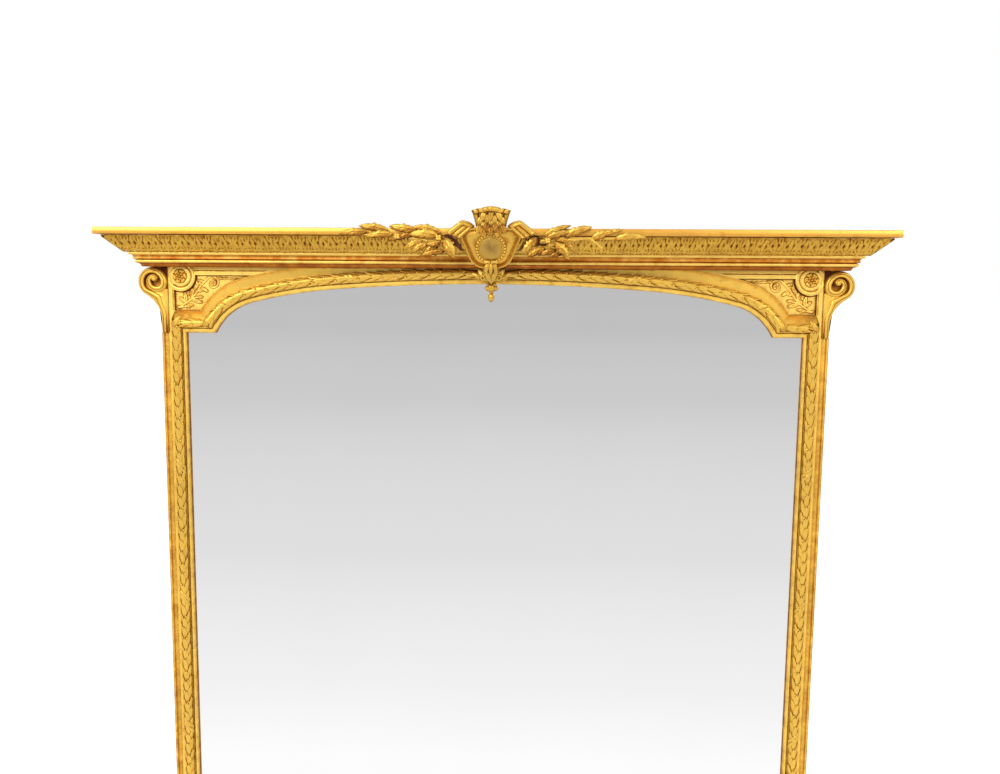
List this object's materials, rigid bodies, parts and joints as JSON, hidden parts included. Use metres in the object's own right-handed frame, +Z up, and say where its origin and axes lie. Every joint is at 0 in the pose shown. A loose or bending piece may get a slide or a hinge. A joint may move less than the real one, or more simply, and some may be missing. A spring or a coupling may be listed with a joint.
{
  "type": "overmantel mirror",
  "caption": "Gilded overmantel mirror: arched shouldered opening, laurel mouldings, scroll consoles, leaf-carved cornice and a cartouche crest.",
  "frame": {"origin": "on the vertical centre plane, where the plane of the frame's back meets the plane it stands on", "axes": "+X across the width to the viewer's right, +Z up, the mirror faces -Y"},
  "size_m": [1.8, 0.2062, 1.7088],
  "materials": {
    "moulding_gilt": "oil gilding over a warm bole, satin",
    "carved_gilt": "gilded carving, darker in the hollows",
    "burnished_gilt": "brighter flat gilding",
    "mirror": "silvered plate glass",
    "pine": "bare softwood, aged",
    "back_pine": "rough sawn softwood, aged",
    "steel": "zinc-plated steel, dulled"
  },
  "bodies": {
    "frame": {"left_stile": "pine", "right_stile": "pine", "head_rail": "pine", "bottom_rail": "pine", "corner_blocks": "pine", "plinth_board": "burnished_gilt", "left_plinth_block": "burnished_gilt", "right_plinth_block": "burnished_gilt", "left_moulding": "moulding_gilt", "right_moulding": "moulding_gilt", "bottom_moulding": "moulding_gilt", "left_shoulder_moulding": "moulding_gilt", "right_shoulder_moulding": "moulding_gilt", "arch_moulding": "moulding_gilt", "left_garland": "carved_gilt", "right_garland": "carved_gilt", "bottom_garland": "carved_gilt", "left_shoulder_garland": "carved_gilt", "right_shoulder_garland": "carved_gilt", "arch_garland": "carved_gilt", "corner_leaves": "carved_gilt", "left_spandrel_board": "moulding_gilt", "right_spandrel_board": "moulding_gilt", "left_spandrel_scroll": "carved_gilt", "right_spandrel_scroll": "carved_gilt", "left_rosette": "carved_gilt", "right_rosette": "carved_gilt", "left_console": "moulding_gilt", "right_console": "moulding_gilt", "cornice_ground": "pine", "bed_moulding": "moulding_gilt", "leaf_moulding": "carved_gilt", "cornice_cap": "burnished_gilt", "left_cornice_return": "moulding_gilt", "right_cornice_return": "moulding_gilt", "top_board": "pine", "cartouche": "carved_gilt", "cartouche_disc": "carved_gilt", "bead_ring": "carved_gilt", "palmette": "carved_gilt", "left_scroll_ear": "carved_gilt", "right_scroll_ear": "carved_gilt", "left_laurel_spray": "carved_gilt", "right_laurel_spray": "carved_gilt", "pendant_husk": "carved_gilt", "pendant_drop": "carved_gilt", "mirror_plate": "mirror", "glazing_blocks": "pine", "backboard_1": "back_pine", "backboard_2": "back_pine", "backboard_3": "back_pine", "backboard_4": "back_pine", "backboard_screws": "steel", "left_hanger_strap": "steel", "right_hanger_strap": "steel", "hanger_screws": "steel"},
    "left_ring": {"left_hanger_ring": "steel"},
    "right_ring": {"right_hanger_ring": "steel"}
  },
  "joints": [
    {"name": "left_ring_pivot", "type": "hinge", "parent": "frame", "child": "left_ring", "pos_m": [-0.772, 0.0037, 1.3], "axis": [1, 0, 0], "range_deg": [0, 170]},
    {"name": "right_ring_pivot", "type": "hinge", "parent": "frame", "child": "right_ring", "pos_m": [0.772, 0.0037, 1.3], "axis": [1, 0, 0], "range_deg": [0, 170]}
  ]
}
